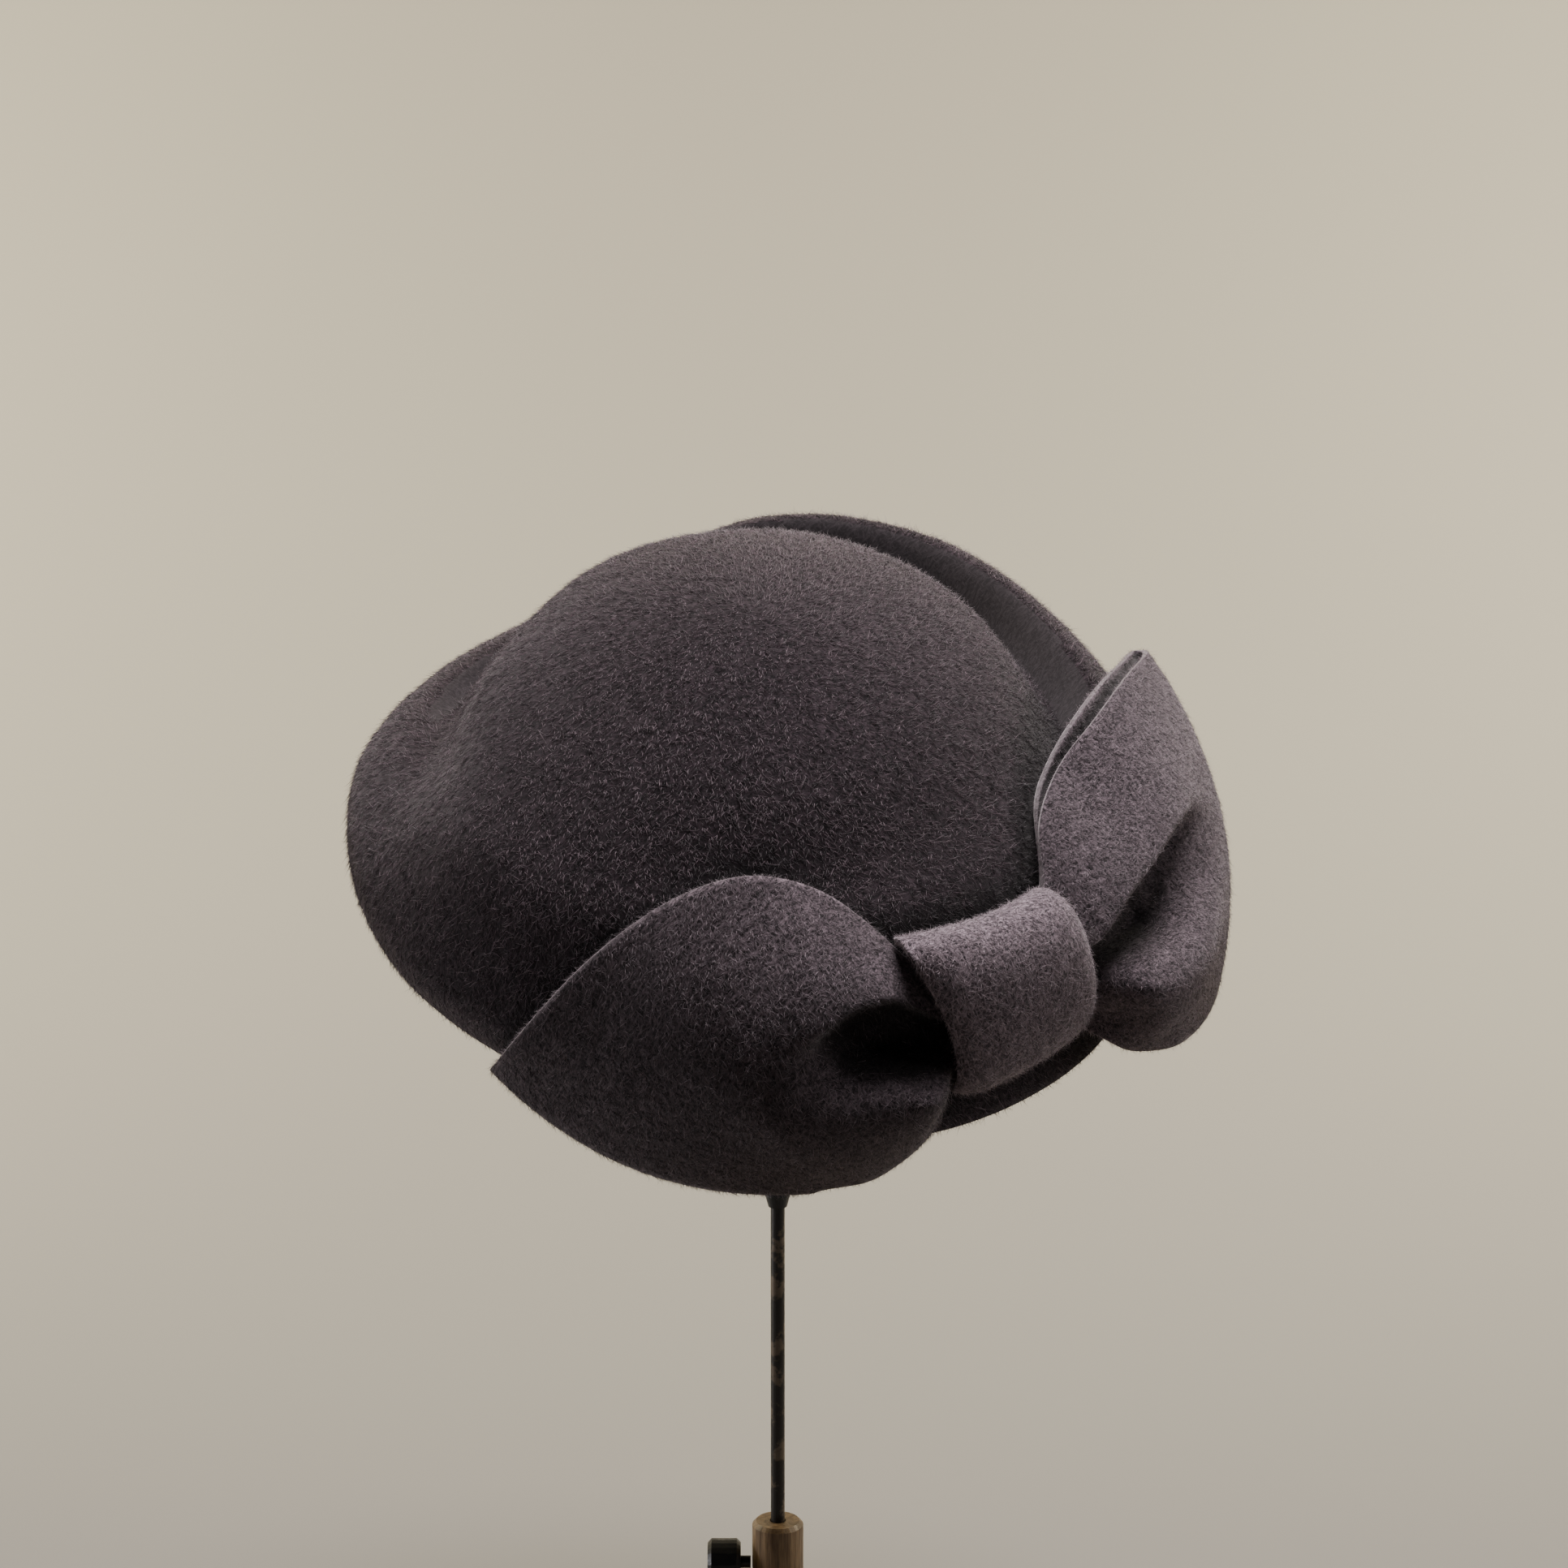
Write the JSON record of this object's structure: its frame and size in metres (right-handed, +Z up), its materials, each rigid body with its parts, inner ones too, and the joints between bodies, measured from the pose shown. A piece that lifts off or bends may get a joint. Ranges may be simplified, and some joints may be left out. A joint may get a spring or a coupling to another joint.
{
  "type": "felt toque with bow on a rod stand",
  "caption": "Brimless felt hat with a domed crown, a rolled crest and a folded felt bow, tilted forward on a thin rod stand with a round foot.",
  "frame": {"origin": "centre of the underside of the stand's round foot, on the surface it stands on", "axes": "+Z up along the rod; -Y is the front, towards which the hat nods and where the bow is; +X is the viewer's right when looking at the front"},
  "size_m": [0.2146, 0.1839, 0.3247],
  "materials": {
    "felt": "brushed long-nap fur felt, matt, warm brown-grey",
    "stand_wood": "satin varnished wood",
    "rod_metal": "worn dark paint over brown metal",
    "black_metal": "black, half matt"
  },
  "bodies": {
    "root": {"crown": "felt", "bow_loop_left": "felt", "bow_loop_right": "felt", "bow_knot": "felt", "stand_head": "stand_wood", "stand_collar": "black_metal", "stand_rod": "rod_metal", "stand_post": "stand_wood", "stand_screw": "black_metal", "stand_foot": "stand_wood"}
  },
  "joints": []
}
